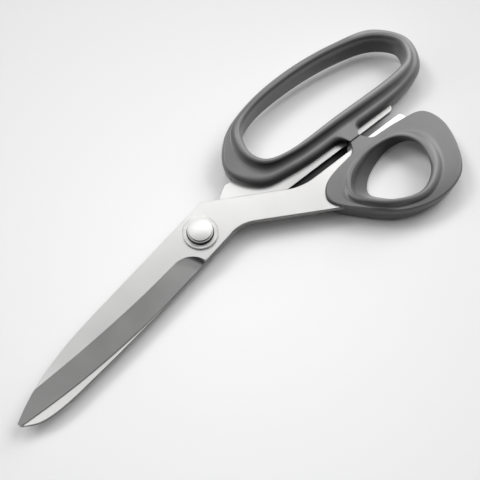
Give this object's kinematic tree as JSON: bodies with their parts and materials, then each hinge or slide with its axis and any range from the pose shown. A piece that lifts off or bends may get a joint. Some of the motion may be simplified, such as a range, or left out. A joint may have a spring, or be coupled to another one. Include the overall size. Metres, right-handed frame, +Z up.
{
  "type": "dressmaking scissors",
  "caption": "Bent-handle dressmaking scissors: steel blades on a tension pivot, with a long finger bow and a raked round thumb bow in grey plastic with soft liners.",
  "frame": {"origin": "on the pivot axis, in the plane that the scissors lie on: the end face of the pivot screw", "axes": "+Z up along the pivot axis, from the tension nut to the screw's dome; +X from the pivot to the bows, with the blades towards -X; +Y to the finger bow's side, with the thumb bow on the -Y side"},
  "size_m": [0.2112, 0.0818, 0.0143],
  "materials": {
    "blade_steel": "satin ground",
    "polished_steel": "polished",
    "washer_steel": "plated",
    "grip_plastic": "matte",
    "soft_grip": "soft matte"
  },
  "bodies": {
    "finger_half": {"finger_blade": "blade_steel", "finger_bow_body": "grip_plastic", "finger_bow_liner": "soft_grip", "spring_washer": "washer_steel"},
    "thumb_half": {"thumb_blade": "blade_steel", "thumb_bow_body": "grip_plastic", "thumb_bow_liner": "soft_grip", "pivot_screw": "polished_steel", "serrated_washer": "washer_steel"},
    "tension_nut": {"tension_nut": "washer_steel"}
  },
  "joints": [
    {"name": "main_pivot", "type": "hinge", "parent": "finger_half", "child": "thumb_half", "pos_m": [0, 0, 0], "axis": [0, 0, -1], "range_deg": [0, 80]},
    {"name": "tension_adjustment", "type": "hinge", "parent": "thumb_half", "child": "tension_nut", "pos_m": [0, 0, 0], "axis": [0, 0, 1], "range_deg": [-45, 45]}
  ]
}
